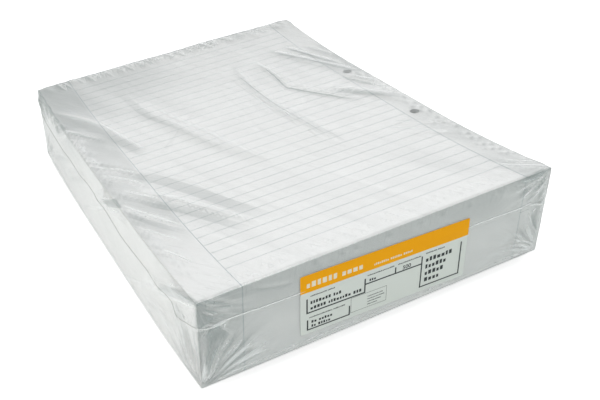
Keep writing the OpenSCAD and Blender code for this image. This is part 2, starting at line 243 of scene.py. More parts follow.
class Folds:
    """Height and shading of one face of the film, gathered fold by fold."""

    def __init__(self, a, b):
        self.a, self.b = a, b
        self.high = np.zeros(a.shape)
        self.tone = np.zeros(a.shape)
        self.haze = np.zeros(a.shape)
        self.across = np.ones((GROUPS, *a.shape))
        self.strength = np.zeros((GROUPS, *a.shape))

    def along(self, path, reach):
        """The places near a path, how far each is to its left, and its share of the way along."""
        line = curve_through(path)
        low, top = line.min(0) - reach, line.max(0) + reach
        near = np.flatnonzero((self.a > low[0]) & (self.a < top[0]) & (self.b > low[1]) & (self.b < top[1]))
        a, b = self.a[near], self.b[near]
        da, db = a[:, None] - line[:, 0], b[:, None] - line[:, 1]
        k = np.hypot(da, db).argmin(1)
        rows = np.arange(len(near))
        da, db = da[rows, k], db[rows, k]
        run = np.gradient(line, axis=0)[k]
        step = np.hypot(*run.T)
        ahead = (run[:, 0] * da + run[:, 1] * db) / step
        aside = (run[:, 0] * db - run[:, 1] * da) / step
        share = (k + ahead / step) / (len(line) - 1)
        return near, aside, np.clip(share, 0, 1)

    def fold(self, path, wide, high, tone=0.0, haze=0.0, sharp=2.0, steep=0.0, fade=0.3):
        """A ridge along a path. Its fourth value is painted light on its left flank, seen along it, and
        painted shade on the right one.
        """
        near, aside, share = self.along(path, 1.6 * wide)
        x = aside / (wide / 2)
        ends = faded(share, fade)
        shape = np.abs(x) * np.where(x < 0, 1 + steep, 1 - steep)
        self.high[near] += high * ends * np.exp(-(shape**sharp))
        # Painted light on the left flank and painted shade on the right one
        light = 0.7 * np.exp(-(((x - 0.5) / 0.7) ** 2))
        dark = np.exp(-(((x + 0.5) / 0.5) ** 2))
        self.tone[near] += tone * ends * (light - dark)
        self.haze[near] += haze * ends * np.exp(-((2 * x - 0.4) ** 2))

    def crease(self, group, path, wide, strength):
        """A thin crease: each place keeps how far across it is, from -1 to 1, and the crease's strength."""
        near, aside, share = self.along(path, 2.2 * wide)
        x = aside / wide * math.copysign(1, strength)
        ends = faded(share, STRIP_FADE if group == STRIP_GROUP else LINE_FADE)
        force = abs(strength) * ends * smooth((2 - np.abs(x)) / 0.8)
        wins = force > self.strength[group, near]
        self.across[group, near[wins]] = x[wins]
        self.strength[group, near[wins]] = force[wins]

    def band(self, path, wide, tone, fade=0.25):
        """A strip of painted shade, or of painted light where its third value is above 0, with quite clear
        edges.
        """
        near, aside, share = self.along(path, 1.2 * wide)
        self.tone[near] += tone * faded(share, fade) * np.exp(-((aside / (wide / 2)) ** 4))

    def crumple(self, centre, size, high, cell, seed, haze, angle, stretch):
        """A patch of small sharp creases that fades out towards its edge."""
        x = (self.a - centre[0]) / size[0]
        y = (self.b - centre[1]) / size[1]
        weight = smooth(1.4 - 1.4 * np.hypot(x, y))
        lines = 1 - np.abs(grain(self.a, self.b, angle, cell * stretch, cell, seed))
        crease = np.maximum(lines - 0.55, 0) / 0.45
        self.high += weight * high * crease**2
        self.haze += weight * haze * crease**4


def top_folds(f):
    """The long folds drawn from the far end of the top towards the label, and the ripples at its edges."""
    # Sharp creases, from the middle to the hole side
    for path, wide, high in (
        ([(27, 102), (28, 60), (27.5, 12), (34, -42)], 5.5, 1.0),
        ([(45, 100), (50, 72), (52, 45)], 6.0, 0.8),
        ([(51, 52), (54, 36), (64, 17), (82, -10)], 6.0, 1.2),
        ([(63, 28), (76, 14), (88, -2), (105, -24)], 7.0, 1.1),
        ([(78, 8), (92, -14), (103, -30)], 5.5, 0.5),
        ([(64, 108), (82, 74), (100, 42)], 8.0, 0.4),
        ([(80, 106), (90, 78), (101, 50)], 7.0, 0.35),
        ([(91, 98), (103, 67)], 6.0, 0.35),
        ([(86, 39), (102, 7)], 6.0, 0.9),
        ([(72, 84), (90, 50)], 5.0, 0.3),
    ):
        f.fold(path, wide, high, 0.15, 0.05, 1.7, 0.3)
    # Broad ridges left of the middle and over the left margin
    for path, wide, high, tone in (
        ([(-57, 108), (-43, 44), (-27, -3), (-5, -54)], 15, 1.4, 0.14),
        ([(-46, 64), (-34, 12), (-18, -34)], 6, 0.4, 0.1),
        ([(-105, 110), (-87, 73), (-77, 40), (-68, 14)], 10, 1.2, 0.14),
        ([(-101, 76), (-83, 42)], 6, 0.5, 0.25),
        ([(-100, -14), (-81, -43), (-64, -70), (-46, -104)], 9, 0.9, 0.1),
        ([(-103, -18), (-84, -50), (-70, -74)], 5, 0.4, 0.2),
        ([(-105, 30), (-86, 0), (-76, -18)], 5, 0.4, 0.25),
    ):
        f.fold(path, wide, high, tone, 0.05, 1.8, 0.3)
    # Strips of painted shade, greyer than beside them
    for path, wide, tone in (
        ([(-107, 94), (-95, 62), (-84, 34)], 8, -0.15),
        ([(-104, 62), (-90, 34), (-83, 18)], 7, -0.15),
        ([(-104, -50), (-88, -80)], 6, -0.15),
        ([(38, 96), (41, 40), (48, -4)], 8, -0.1),
        ([(60, 92), (66, 52), (78, 30)], 10, -0.1),
        ([(104, 104), (104, 60), (104, 20)], 8, -0.3),
    ):
        f.band(path, wide, tone)
    for crease in TOP_PAINTED_CREASES:
        f.crease(*crease)
    # Rows of thin creases, painted as highlights, over the left edge, the far end and the label's end
    draw = np.random.default_rng(12)
    for y, long in spaced(draw, 7, 67, -7.4, 1.5, 7, 13):
        path = ((-107, y), (-103, y - 0.35 * long), (-106 + 0.85 * long, y - long))
        f.crease(7, path, 1.6, draw.uniform(0.5, 0.9))
    for x, long in spaced(draw, 24, -92, 7.9, 1.6, 9, 15):
        slant = (0.3 + 0.0025 * (x + 90)) * long
        path = ((x - 0.3 * slant, 155), (x, 148), (x + slant, 148 - long))
        f.crease(4, path, 2.3, draw.uniform(0.6, 1.1))
    for k, (x, long) in enumerate(spaced(draw, 26, -96, 7.6, 2, 8, 15)):
        foot = -146 + draw.uniform(0, 4)
        path = ((x - 1, foot + long), (x + 1.5, foot + long / 2), (x + 4, foot))
        f.crease(6 + k % 2, path, 1.1, draw.uniform(0.2, 0.5))
    # Faint upright creases in the middle
    for x, start, stop in ((7, 84, -2), (12, 70, 4), (17, 66, -12), (2, 40, -18)):
        f.fold([(x, start), (x + 1, stop)], 3.0, 0.2, 0.15, 0.0)
    # Ripples where the film turns over the ends
    draw = np.random.default_rng(11)
    for x, long in spaced(draw, 20, -100, 10.3, 2.5, 10, 21):
        path = ((x, 150), (x + 0.5 * long, 150 - long))
        f.fold(path, 5.5, draw.uniform(0.4, 0.8), tone=0.2, sharp=1.8, steep=0.2, fade=0.4)
    for x, long in spaced(draw, 46, -102, 4.5, 1.5, 6, 13):
        foot = -149 + draw.uniform(0, 8)
        path = ((x - 0.4 * long, foot + long), (x, foot))
        f.fold(path, 3.0, draw.uniform(0.03, 0.08), tone=0.06, haze=0.08, sharp=1.6, fade=0.4)
    # Short slanted creases along the left margin, and along the hole side
    for y, long in spaced(draw, 22, 88, -8.4, 3, 9, 19):
        path = ((-106, y), (-106 + 0.6 * long, y - long))
        f.fold(path, 3.4, draw.uniform(0.2, 0.5), tone=0.25, haze=0.3, sharp=1.6, fade=0.4)
    for y, long in spaced(draw, 18, 30, -9, 3, 9, 20):
        path = ((106 - 0.8 * long, y + 0.6 * long), (106, y))
        f.fold(path, 3.4, draw.uniform(0.2, 0.5), tone=0.5, haze=0.15, sharp=1.6, fade=0.4)
    f.fold([(68, -58), (84, -70), (103, -80)], 6, 0.5, 0.1, 0.0)
    # Folds that gather at the corner beside the holes
    for x, y in ((80, -124), (88, -116), (95, -108), (74, -134)):
        f.fold([(x, y), (105, -147)], 4.0, 0.4, 0.1, 0.1, 1.6)
    f.crumple((-97, -112), (9, 20), 0.35, 2.4, 21, 0.4, 80, 6)
    f.crumple((99, -60), (8, 60), 0.3, 3.2, 22, 0.25, 140, 3)
    # Slow swells, a random tone along the folds, and painted shade over the left margin, the far left
    # corner, the far part left of the middle, the near right part and the hole side's edge
    f.high += 0.35 * (1 + grain(f.a, f.b, -70, 90, 26, 3)) * smooth((HALF_W - np.abs(f.a)) / 30)
    f.tone += 0.12 * grain(f.a, f.b, -66, 60, 14, 4)
    f.tone -= 0.27 * smooth((-81 - f.a) / 1.2) * (0.25 + 0.75 * smooth((f.b + 130) / 60))
    f.tone -= 0.26 * smooth(1 - np.hypot(f.a + 105, f.b - 148) / 110)
    f.tone -= 0.16 * smooth(1 - np.hypot(f.a + 60, f.b - 110) / 100)
    f.tone -= 0.1 * smooth((f.a - 30) / 60) * smooth(-f.b / 60)
    f.tone -= 0.2 * smooth((f.a - 84) / 8)


def corner_fan(f, corner, spread, count, reach, seed, high=1.0, wide=4.5, tone=0.8):
    """Folds that spread from a corner of a side, between two angles in degrees."""
    draw = np.random.default_rng(seed)
    for k in range(count):
        turn = k + draw.uniform(-0.25, 0.25)
        c, s = way_of(spread[0] + (spread[1] - spread[0]) * turn / (count - 1))
        out, aside = np.array([c, s]), np.array([-s, c])
        long = reach * draw.uniform(0.6, 1.0)
        start = np.array(corner) + 1.5 * out
        bow = draw.uniform(-1.5, 1.5)
        path = (start, start + long / 2 * out + bow * aside, start + long * out)
        broad, tall = wide * draw.uniform(0.7, 1.2), high * draw.uniform(0.6, 1.1)
        f.fold(path, broad, tall, tone, haze=0.15, sharp=1.6, steep=0.2, fade=0.35)


def side_common(f, half, seed):
    """What all four sides share: a crease just above the ground, and ticks that rise from it."""
    draw = np.random.default_rng(seed)
    path = ((-half, 2.4), (-half / 3, 2.9), (half / 3, 2.2), (half, 2.8))
    f.fold(path, 1.8, 0.35, tone=0.3, haze=0.25, sharp=1.6, fade=0.02)
    for _ in range(int(half / 5)):
        x = draw.uniform(-half + 8, half - 8)
        long = draw.uniform(3, 8)
        path = ((x, 1), (x + draw.uniform(-3, 3), 1 + long))
        f.fold(path, 2.2, draw.uniform(0.15, 0.35), tone=0.3, haze=0.25, sharp=1.5, fade=0.4)


def front_folds(f):
    """The label's side: a strong fan from the lower left corner, and a smaller one at the upper right."""
    side_common(f, HALF_W, 31)
    for x, y, wide, high in (
        (-98, 35, 3.5, 1.1),
        (-91, 32, 4.5, 1.5),
        (-84, 30, 4.0, 1.2),
        (-77, 24, 5.0, 1.5),
        (-71, 16, 4.0, 1.0),
        (-64, 9, 3.5, 0.8),
    ):
        path = ((-104, 2), ((x - 104) / 2 - 1.5, (y + 2) / 2 + 2), (x, y))
        f.fold(path, wide, high, tone=1.2, haze=0.2, sharp=1.7, steep=0.25)
    f.fold([(-103, 30), (-97, 38), (-90, 32)], 5, 0.8, 0.8, 0.1)
    for start, end in (((-104, 57), (-84, 46)), ((-104, 52), (-88, 42)), ((-103, 47), (-92, 41))):
        f.fold([start, end], 4.0, 0.8, 1.0, 0.1, 1.7, 0.2)
    f.fold([(-80, 52), (-62, 47), (-53, 46)], 3.5, 0.4, 0.5, 0.1)
    corner_fan(f, (104, 56), (190, 240), 6, 28, 33, 1.0)
    corner_fan(f, (104, 2), (118, 170), 6, 26, 34, 0.9)
    f.fold([(103, 52), (101, 30), (103, 8)], 5, 0.9, 0.7, 0.2)
    draw = np.random.default_rng(35)
    for _ in range(24):
        x = draw.uniform(-46, 96)
        top = 55 - draw.uniform(0, 3)
        path = ((x, top), (x - 2.5, top - draw.uniform(3, 8)))
        f.fold(path, 2.2, 0.2, tone=0.35, haze=0.1, sharp=1.6, fade=0.4)
    for crease in FRONT_PAINTED_CREASES:
        f.crease(*crease)
    f.crumple((-99, 39), (13, 9), 0.4, 2.2, 36, 0.5, 20, 2)
    f.crumple((100, 42), (8, 14), 0.35, 2.4, 37, 0.4, 60, 2)
    # Painted shade in two strips at the left end, towards the left and towards the top, and painted light
    # towards the bottom
    f.band([(-104, 38), (-96, 36), (-90, 26)], 8, -0.6)
    f.band([(-104, 12), (-98, 26), (-97, 36)], 5, -0.6)
    f.tone -= 0.35 * smooth((-76 - f.a) / 26)
    f.tone -= 0.32 * smooth((f.b - 22) / 30)
    f.tone += 0.3 * smooth((24 - f.b) / 20)


def left_folds(f):
    """The side without holes: smooth, with a few long folds and dents under the top edge."""
    side_common(f, HALF_L, 41)
    for path, wide, high, tone in (
        ([(-34, 55), (-8, 46), (19, 31)], 8, 1.2, 0.6),
        ([(-147, 57), (-108, 41), (-70, 22)], 8, 1.5, 0.8),
        ([(-147, 55), (-130, 52), (-110, 47)], 4.5, 1.0, 1.2),
        ([(-120, 22), (-92, 18), (-60, 6)], 7, 0.8, 0.6),
        ([(30, 42), (60, 30), (94, 12)], 9, 0.8, 0.5),
        ([(74, 36), (104, 24), (134, 6)], 7, 0.9, 0.6),
        ([(-52, 52), (-30, 47), (4, 44)], 6, 0.6, 0.5),
    ):
        f.fold(path, wide, high, tone, 0.08, 1.7, 0.25)
    for y, wide in ((118, 7), (106, 8), (95, 7), (132, 6), (-18, 7)):
        f.fold([(y + 9, 58), (y + 5, 50), (y + 2, 40)], wide, 1.2, 0.2, 0.1, 1.7, 0.3, 0.4)
    # Strips of painted shade below the top edge near the far end
    for y, low, high in ((138, 44, 33), (145, 50, 36)):
        f.band([(y, low), (y - 3, high)], 3, -0.6, 0.4)
    for crease in LEFT_PAINTED_CREASES:
        f.crease(*crease)
    corner_fan(f, (-147, 3), (20, 62), 6, 36, 43, 1.2)
    corner_fan(f, (147, 3), (120, 158), 5, 34, 44, 0.9)
    corner_fan(f, (147, 56), (196, 232), 4, 30, 45, 0.9)
    f.crumple((-126, 34), (18, 9), 0.6, 2.2, 46, 0.9, 60, 1.5)
    f.crumple((-136, 16), (8, 12), 0.4, 2.2, 47, 0.5, 50, 3)
    # A random tone, and painted shade over the upper part towards the far end, at both ends and in a patch
    # near the far upper corner, with painted light towards the bottom
    f.tone += 0.1 * grain(f.a, f.b, 24, 60, 10, 48)
    f.tone -= 0.6 * smooth((f.b - 34) / 20) * smooth((f.a + 20) / 160)
    f.tone += 0.4 * smooth((14 - f.b) / 14) * (0.3 + 0.7 * smooth((f.a + 40) / 150))
    f.tone -= 0.22 * smooth((-90 - f.a) / 40)
    f.tone -= 0.12 * smooth((f.a - 40) / 60)
    f.tone -= 0.7 * smooth(1.3 - np.hypot((f.a - 142) / 13, (f.b - 41) / 10))


def right_folds(f):
    """The side beside the holes, where the film has no seam."""
    side_common(f, HALF_L, 51)
    draw = np.random.default_rng(52)
    for k in range(9):
        y = -120 + 29 * k + draw.uniform(-8, 8)
        path = ((y, 52), (y + 14, 34), (y + 34, 12))
        f.fold(path, 9, draw.uniform(0.5, 1.1), tone=0.5, haze=0.08, sharp=1.7, steep=0.2)
    corner_fan(f, (-147, 3), (22, 66), 5, 32, 53)
    corner_fan(f, (147, 3), (114, 158), 5, 32, 54)
    corner_fan(f, (-147, 56), (296, 338), 5, 32, 55)
    corner_fan(f, (147, 56), (202, 240), 5, 32, 56)
    f.tone += 0.12 * grain(f.a, f.b, -28, 60, 10, 57)


def back_folds(f):
    """The end away from the label, drawn as the front is but with no label."""
    side_common(f, HALF_W, 61)
    corner_fan(f, (-103, 3), (24, 66), 6, 32, 62, 1.1)
    corner_fan(f, (103, 3), (114, 156), 6, 32, 63, 1.1)
    corner_fan(f, (-103, 56), (300, 336), 6, 32, 64, 1.1)
    corner_fan(f, (103, 56), (204, 240), 6, 32, 65, 1.1)
    draw = np.random.default_rng(66)
    for x, long in spaced(draw, 20, -98, 10.2, 2, 6, 14):
        path = ((x, 56), (x + 2, 56 - long))
        f.fold(path, 5, draw.uniform(0.3, 0.6), tone=0.4, haze=0.1, sharp=1.6, fade=0.45)
    f.tone += 0.15 * grain(f.a, f.b, 60, 40, 9, 67)


# Each face: which straight coordinate points out of it, which way, and what folds it has
FACES = {
    "top": (2, 1, top_folds),
    "front": (1, -1, front_folds),
    "back": (1, 1, back_folds),
    "left": (0, -1, left_folds),
    "right": (0, 1, right_folds),
}
LIMITS = (HALF_W + SKIN, HALF_L + SKIN, STACK_H + SKIN)
# How far below a face its folds and its shading reach, and the height over which a side's folds begin
TURN_OVER, SHADE_DEPTH, FOOT = 5.0, 2.0, 1.5


def under_label(u, t):
    """1 where the label lies on the film, 0 away from it. Its turn lowers its middle by LABEL_DROP."""
    half_w, half_h = LABEL_W / 2, LABEL_H / 2
    p, q = u - (LABEL_X - HALF_W) - half_w, t - LABEL_Z - half_h + LABEL_DROP
    inside = np.minimum(half_w + 1 - np.abs(p), half_h + 2 * LABEL_DROP - np.abs(q))
    return smooth(inside / 3 + 0.5)


def gathered(x, half, share):
    """Crowds evenly spaced places towards both ends of a length, where the film has its finest folds."""
    k = x / half
    return half * (k + share * np.sin(math.pi * k) / math.pi)


def film_lift(places):
    """Moves places of the straight block out by the film's folds. Gives the places and their shading."""
    out = places.copy()
    shading = {"tone": np.zeros(len(places)), "haze": np.zeros(len(places))}
    for group in range(GROUPS):
        shading[f"across{group}"] = np.ones(len(places))
        shading[f"strength{group}"] = np.zeros(len(places))
    for name, (axis, way, draw_folds) in FACES.items():
        depth = LIMITS[axis] - way * places[:, axis]
        near = np.flatnonzero(depth < TURN_OVER)
        flat = [k for k in range(3) if k != axis]
        f = Folds(places[near, flat[0]], places[near, flat[1]])
        draw_folds(f)
        weight = 1.0 if name == "top" else smooth((places[near, 2] + SKIN) / FOOT)
        shade = weight * smooth(1 - depth[near] / SHADE_DEPTH)
        if name == "front":
            weight = weight * (1 - under_label(f.a, f.b))
        weight = weight * smooth(1 - depth[near] / TURN_OVER)
        out[near, axis] += way * weight * np.maximum(f.high, 0)
        shading["tone"][near] += shade * f.tone
        shading["haze"][near] += shade * f.haze
        for group in range(GROUPS):
            force = shade * f.strength[group]
            wins = force > shading[f"strength{group}"][near]
            shading[f"across{group}"][near[wins]] = f.across[group, wins]
            shading[f"strength{group}"][near[wins]] = force[wins]
    return out, shading


# Meshes


def named(name, finish):
    """Names the active piece, gives it its finish and its slot, and fixes it to the pack."""
    piece = bpy.context.object
    piece.name = piece.data.name = name
    piece.data.materials.clear()
    piece.data.materials.append(finish)
    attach(piece, "root")
    piece.select_set(False)
    return piece


def vertices(piece):
    """The vertices of a piece as rows of three numbers."""
    places = np.empty(len(piece.data.vertices) * 3)
    piece.data.vertices.foreach_get("co", places)
    return places.reshape(-1, 3)


def move_vertices(piece, places):
    """Puts the vertices of a piece at the given rows of three numbers."""
    piece.data.vertices.foreach_set("co", np.asarray(places, np.float32).ravel())
    piece.data.update()


def store(piece, name, values):
    """Keeps one number for each vertex, for the materials to read."""
    kept = piece.data.attributes.new(name, "FLOAT", "POINT").data
    kept.foreach_set("value", np.asarray(values, np.float32))


def pick_edges(piece, wanted):
    """Selects the edges for which wanted(one end, other end) holds, in edit mode."""
    bpy.context.tool_settings.mesh_select_mode = (False, True, False)
    mesh = bmesh.from_edit_mesh(piece.data)
    for edge in mesh.edges:
        edge.select_set(bool(wanted(edge.verts[0].co, edge.verts[1].co)))
    bmesh.update_edit_mesh(piece.data)


def make_film(finish):
    """The film: a block with rounded edges, cut into small squares and drawn into its folds."""
    size = Vector((SHEET_W + 2 * SKIN, SHEET_L + 2 * SKIN, STACK_H + 2 * SKIN))
    middle = Vector((0, 0, STACK_H / 2))
    bpy.ops.mesh.primitive_cube_add(size=1, location=middle, scale=size)
    bpy.ops.object.transform_apply(location=True, rotation=True, scale=True)
    piece = bpy.context.object
    bpy.ops.object.mode_set(mode="EDIT")
    bpy.ops.mesh.select_all(action="SELECT")
    bpy.ops.mesh.bevel(offset=EDGE_R, segments=2, affect="EDGES")
    for axis, cuts in enumerate(FILM_CUTS):
        others = [k for k in range(3) if k != axis]

        def runs_along(p, q):
            step = q - p
            return abs(step[axis]) > LONG_EDGE and all(abs(step[k]) < SAME for k in others)

        pick_edges(piece, runs_along)
        bpy.ops.mesh.subdivide(number_cuts=cuts)
    # The flat underside keeps strips from side to side, since the ground hides it
    low, inner = -SKIN + SAME, size.x / 2 - 1.1 * EDGE_R

    def under(p, q):
        flat = p.z < low and q.z < low and abs(p.x) < inner and abs(q.x) < inner
        return flat and abs(p.x - q.x) < SAME

    pick_edges(piece, under)
    bpy.ops.mesh.dissolve_edges(use_verts=True)
    bpy.ops.object.mode_set(mode="OBJECT")
    places = vertices(piece)
    for axis, share in enumerate(CROWDING):
        places[:, axis] = gathered(places[:, axis], size[axis] / 2, share)
    places, shading = film_lift(places)
    move_vertices(piece, leaned(*places.T) * MM)
    for name, values in shading.items():
        store(piece, name, values)
    bpy.ops.object.shade_smooth_by_angle(angle=math.radians(SMOOTH_UP_TO))
    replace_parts(named("film_wrap", finish), "film")


# The seam from the far end round the left side to the label's end: places along each face, and heights
SEAM_LEGS = (
    ("back", ((HALF_W, 36), (40, 36.8), (-30, 35.8), (-HALF_W, 36.5))),
    ("left", (
        (HALF_L, 36.5), (120, 34), (60, 36), (8, 36.5), (-22, 34),
        (-40, 33), (-80, 35.5), (-112, 36.5), (-122, 31), (-HALF_L, 39.4),
    )),
    ("front", (
        (-HALF_W, 39.4), (-98, 37.6), (-84, 38.2), (-50, 36.6),
        (54, 36.0), (78, 35.4), (96, 34.2), (HALF_W, 32),
    )),
)


def make_seam(finish):
    """The sealed seam: a thin bead laid on the folded film round three sides."""
    places = []
    for face, knots in SEAM_LEGS:
        axis, way, _ = FACES[face]
        line = curve_through(knots, SEAM_STEPS)
        line[:, 1] += SEAM_WAVE * random_field(line[:, 0], line[:, 1] * 0, 3.0, 1, 72)
        straight = np.zeros((len(line), 3))
        straight[:, 1 - axis] = line[:, 0]
        straight[:, axis] = way * LIMITS[axis]
        straight[:, 2] = line[:, 1]
        places.append(straight)
    straight = np.vstack(places)
    folded, _ = film_lift(straight)
    centre = leaned(*folded.T)
    curve = bpy.data.curves.new("film_seam", "CURVE")
    curve.dimensions = "3D"
    line = curve.splines.new("POLY")
    line.points.add(len(centre) - 1)
    for point, place, at in zip(line.points, centre, straight):
        point.co = (*(place * MM), 1)
        point.radius = SEAM_WIDE if at[1] < 1 - HALF_L else SEAM_THIN
    curve.bevel_depth = SEAM_R * MM
    curve.bevel_resolution = 1
    curve.use_fill_caps = True
    piece = bpy.data.objects.new("film_seam", curve)
    bpy.context.collection.objects.link(piece)
    bpy.context.view_layer.objects.active = piece
    piece.select_set(True)
    bpy.ops.object.convert(target="MESH")
    bpy.ops.object.shade_smooth()
    named("film_seam", finish)


# The label


def label_swell(p, q):
    """How far the label stands out at a place on it: slight waves, and the seam that runs under it."""
    seam = SEAM_Z - LABEL_Z + p * math.tan(math.radians(LABEL_TURN))
    edge = np.minimum(np.minimum(p, LABEL_W - p), np.minimum(q, LABEL_H - q))
    waves = 0.12 * (1 + random_field(p, q, 24, 18, 81)) + 0.04 * (1 + grain(p, q, 60, 20, 5, 82))
    return waves * smooth(edge / 6) + 0.12 * np.exp(-(((q - seam) / 1.3) ** 2))


def on_label(piece, out):
    """Lays a flat piece, drawn on the label in millimetres, on the pack's end, standing out by out."""
    p, q, thick = vertices(piece).T
    out = out + thick + label_swell(p, q)
    c, s = way_of(LABEL_TURN)
    across, up = p * c + q * s, q * c - p * s
    tilt = math.pi / 2 + LEAN_ANGLE
    z = CURL + LABEL_Z
    x = across + LABEL_X - HALF_W + LEAN_X * slide(z)
    y = up * math.cos(tilt) - out * math.sin(tilt) - HALF_L - SKIN - LEAN_Y * slide(z)
    z = up * math.sin(tilt) + out * math.cos(tilt) + z + SKIN
    move_vertices(piece, np.stack([x, y, z], -1) * MM)


def plate(left, low, right, high, thick, radius=0.0, corners=(True, True)):
    """A flat plate drawn on the label, with its upper and lower corners rounded where asked."""
    size = (right - left, high - low, 1)
    middle = ((left + right) / 2, (low + high) / 2, 0)
    bpy.ops.mesh.primitive_plane_add(size=1, location=middle)
    piece = bpy.context.object
    piece.scale = size
    bpy.ops.object.transform_apply(location=True, rotation=True, scale=True)
    bpy.ops.object.mode_set(mode="EDIT")
    if radius:
        bpy.context.tool_settings.mesh_select_mode = (True, False, False)
        mesh = bmesh.from_edit_mesh(piece.data)
        for vertex in mesh.verts:
            vertex.select_set(corners[0] if vertex.co.y > middle[1] else corners[1])
        bmesh.update_edit_mesh(piece.data)
        bpy.ops.mesh.bevel(offset=radius, segments=6, affect="VERTICES")
    bpy.ops.mesh.select_all(action="SELECT")
    bpy.ops.mesh.extrude_region_move(TRANSFORM_OT_translate={"value": (0, 0, thick)})
    bpy.ops.mesh.select_all(action="SELECT")
    bpy.ops.mesh.normals_make_consistent(inside=False)
    bpy.ops.object.mode_set(mode="OBJECT")
    return piece


def joined(pieces):
    """Joins pieces into the first of them."""
    bpy.ops.object.select_all(action="DESELECT")
    for piece in pieces:
        piece.select_set(True)
    bpy.context.view_layer.objects.active = pieces[0]
    bpy.ops.object.join()
    return pieces[0]


def sliced(piece, step):
    """Cuts a flat piece into squares, so that it can follow the label's waves."""
    low, high = vertices(piece).min(0), vertices(piece).max(0)
    bpy.context.view_layer.objects.active = piece
    piece.select_set(True)
    bpy.ops.object.mode_set(mode="EDIT")
    for axis in (0, 1):
        normal = [0, 0, 0]
        normal[axis] = 1
        for k in range(math.ceil(low[axis] / step), math.ceil(high[axis] / step)):
            place = [0, 0, 0]
            place[axis] = k * step
            bpy.ops.mesh.select_all(action="SELECT")
            bpy.ops.mesh.bisect(plane_co=place, plane_no=normal)
    bpy.ops.object.mode_set(mode="OBJECT")
    return piece


PRINT_T = 0.03
BAND_H, BAND_IN = 11.0, 0.02
LINE_W, FINE_LINE_W = 0.8, 0.16
# Letters and words, as shares of a row's height
LETTER_W, LETTER_GAP, WORD_GAP = (0.45, 0.75), 0.3, 0.6
# The number of sheets: its size, how much bolder than thin it is, and its place across and down
COUNT_SIZE, COUNT_BOLD, COUNT_X, COUNT_DOWN = 3.5, 0.06, 61.0, 18.4
# The frames, measured across and down from the label's upper left corner
FRAMES = (
    ((3.8, 15.7), (3.8, 24.6), (38.0, 24.6), (38.0, 16.0)),
    ((4.1, 29.8), (4.1, 36.0), (29.0, 36.0), (29.0, 30.4)),
    ((38.0, 19.3), (73.2, 19.3)),
    ((56.6, 15.7), (56.6, 19.3)),
    ((73.2, 14.9), (73.2, 35.4), (98.4, 35.4), (98.4, 14.4)),
)
FINE_FRAME = ((29.9, 25.4), (51.6, 25.4), (51.6, 35.3), (29.9, 35.3), (29.9, 25.4))
# Rows of print: left end, distance down, height, and the lengths of the words
ROWS = (
    (5.8, 14.0, 0.8, (9, 4)),
    (5.8, 18.3, 1.9, (11, 4)),
    (5.8, 22.0, 1.9, (9, 12, 4)),
    (5.2, 28.0, 0.8, (13, 7)),
    (6.4, 31.2, 1.7, (2, 7)),
    (6.4, 34.0, 1.7, (2, 6)),
    (39.4, 14.0, 0.8, (16,)),
    (40.6, 17.4, 1.5, (3.2,)),
    (58.0, 13.9, 0.8, (14,)),
    (75.5, 13.4, 0.8, (7, 4)),
    (75.8, 17.8, 2.7, (17,)),
    (75.8, 22.3, 2.7, (12,)),
    (75.8, 26.8, 2.7, (10,)),
    (75.8, 31.2, 2.7, (8,)),
    (40.0, 28.0, 0.6, (9,)),
    (40.0, 29.8, 0.6, (10,)),
    (40.0, 31.6, 0.6, (8,)),
    (40.0, 33.4, 0.6, (6,)),
)
BAND_ROWS = ((3.6, 6.4, 3.4, (16, 11)), (43.0, 8.0, 1.3, (9, 7, 5)))


def strokes(path, wide):
    """A line of print through several corners, drawn as one plate for each leg."""
    made = []
    for (x0, y0), (x1, y1) in zip(path, path[1:]):
        left, right = min(x0, x1) - wide / 2, max(x0, x1) + wide / 2
        low, high = LABEL_H - max(y0, y1) - wide / 2, LABEL_H - min(y0, y1) + wide / 2
        made.append(plate(left, low, right, high, PRINT_T))
    return made


def words(rows):
    """Rows of small plain blocks, in groups of the given lengths."""
    draw = np.random.default_rng(91)
    made = []
    for x, down, high, lengths in rows:
        low = LABEL_H - down - high / 2
        for long in lengths:
            stop = x + long
            while x < stop:
                wide = high * draw.uniform(*LETTER_W)
                tall = high * draw.choice((0.75, 1.0))
                made.append(plate(x, low, x + wide, low + tall, PRINT_T))
                x += wide + LETTER_GAP * high
            x += WORD_GAP * high
    return made


def printed(pieces, out, name, ink):
    """Joins pieces of print and lays them on the label, standing out by out."""
    on_label(sliced(joined(pieces), LABEL_STEP), out)
    named(name, ink)


def make_label(paper, orange, ink, pale):
    """The label: white paper with an orange band, dark frames, rows of blocks and a count."""
    base = sliced(plate(0, 0, LABEL_W, LABEL_H, LABEL_T, LABEL_R), LABEL_STEP)
    on_label(base, LABEL_GAP)
    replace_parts(named("label_paper", paper), "label")
    face = LABEL_GAP + LABEL_T + LAYER_GAP
    right, top = LABEL_W - BAND_IN, LABEL_H - BAND_IN
    band = plate(BAND_IN, LABEL_H - BAND_H, right, top, PRINT_T, LABEL_R, (True, False))
    on_label(sliced(band, LABEL_STEP), face)
    named("label_band", orange)
    lines = [line for path in FRAMES for line in strokes(path, LINE_W)]
    printed(lines + strokes(FINE_FRAME, FINE_LINE_W), face, "label_frames", ink)
    printed(words(ROWS), face, "label_rows", ink)
    printed(words(BAND_ROWS), face + PRINT_T + LAYER_GAP, "label_band_rows", pale)
    bpy.ops.object.text_add(location=(0, 0, 0))
    text = bpy.context.object
    text.data.body = "500"
    text.data.size = COUNT_SIZE
    text.data.offset = COUNT_BOLD
    text.data.extrude = PRINT_T / 2
    bpy.ops.object.convert(target="MESH")
    move_vertices(text, vertices(text) + (COUNT_X, LABEL_H - COUNT_DOWN, PRINT_T / 2))
    on_label(text, face)
    named("label_count", ink)


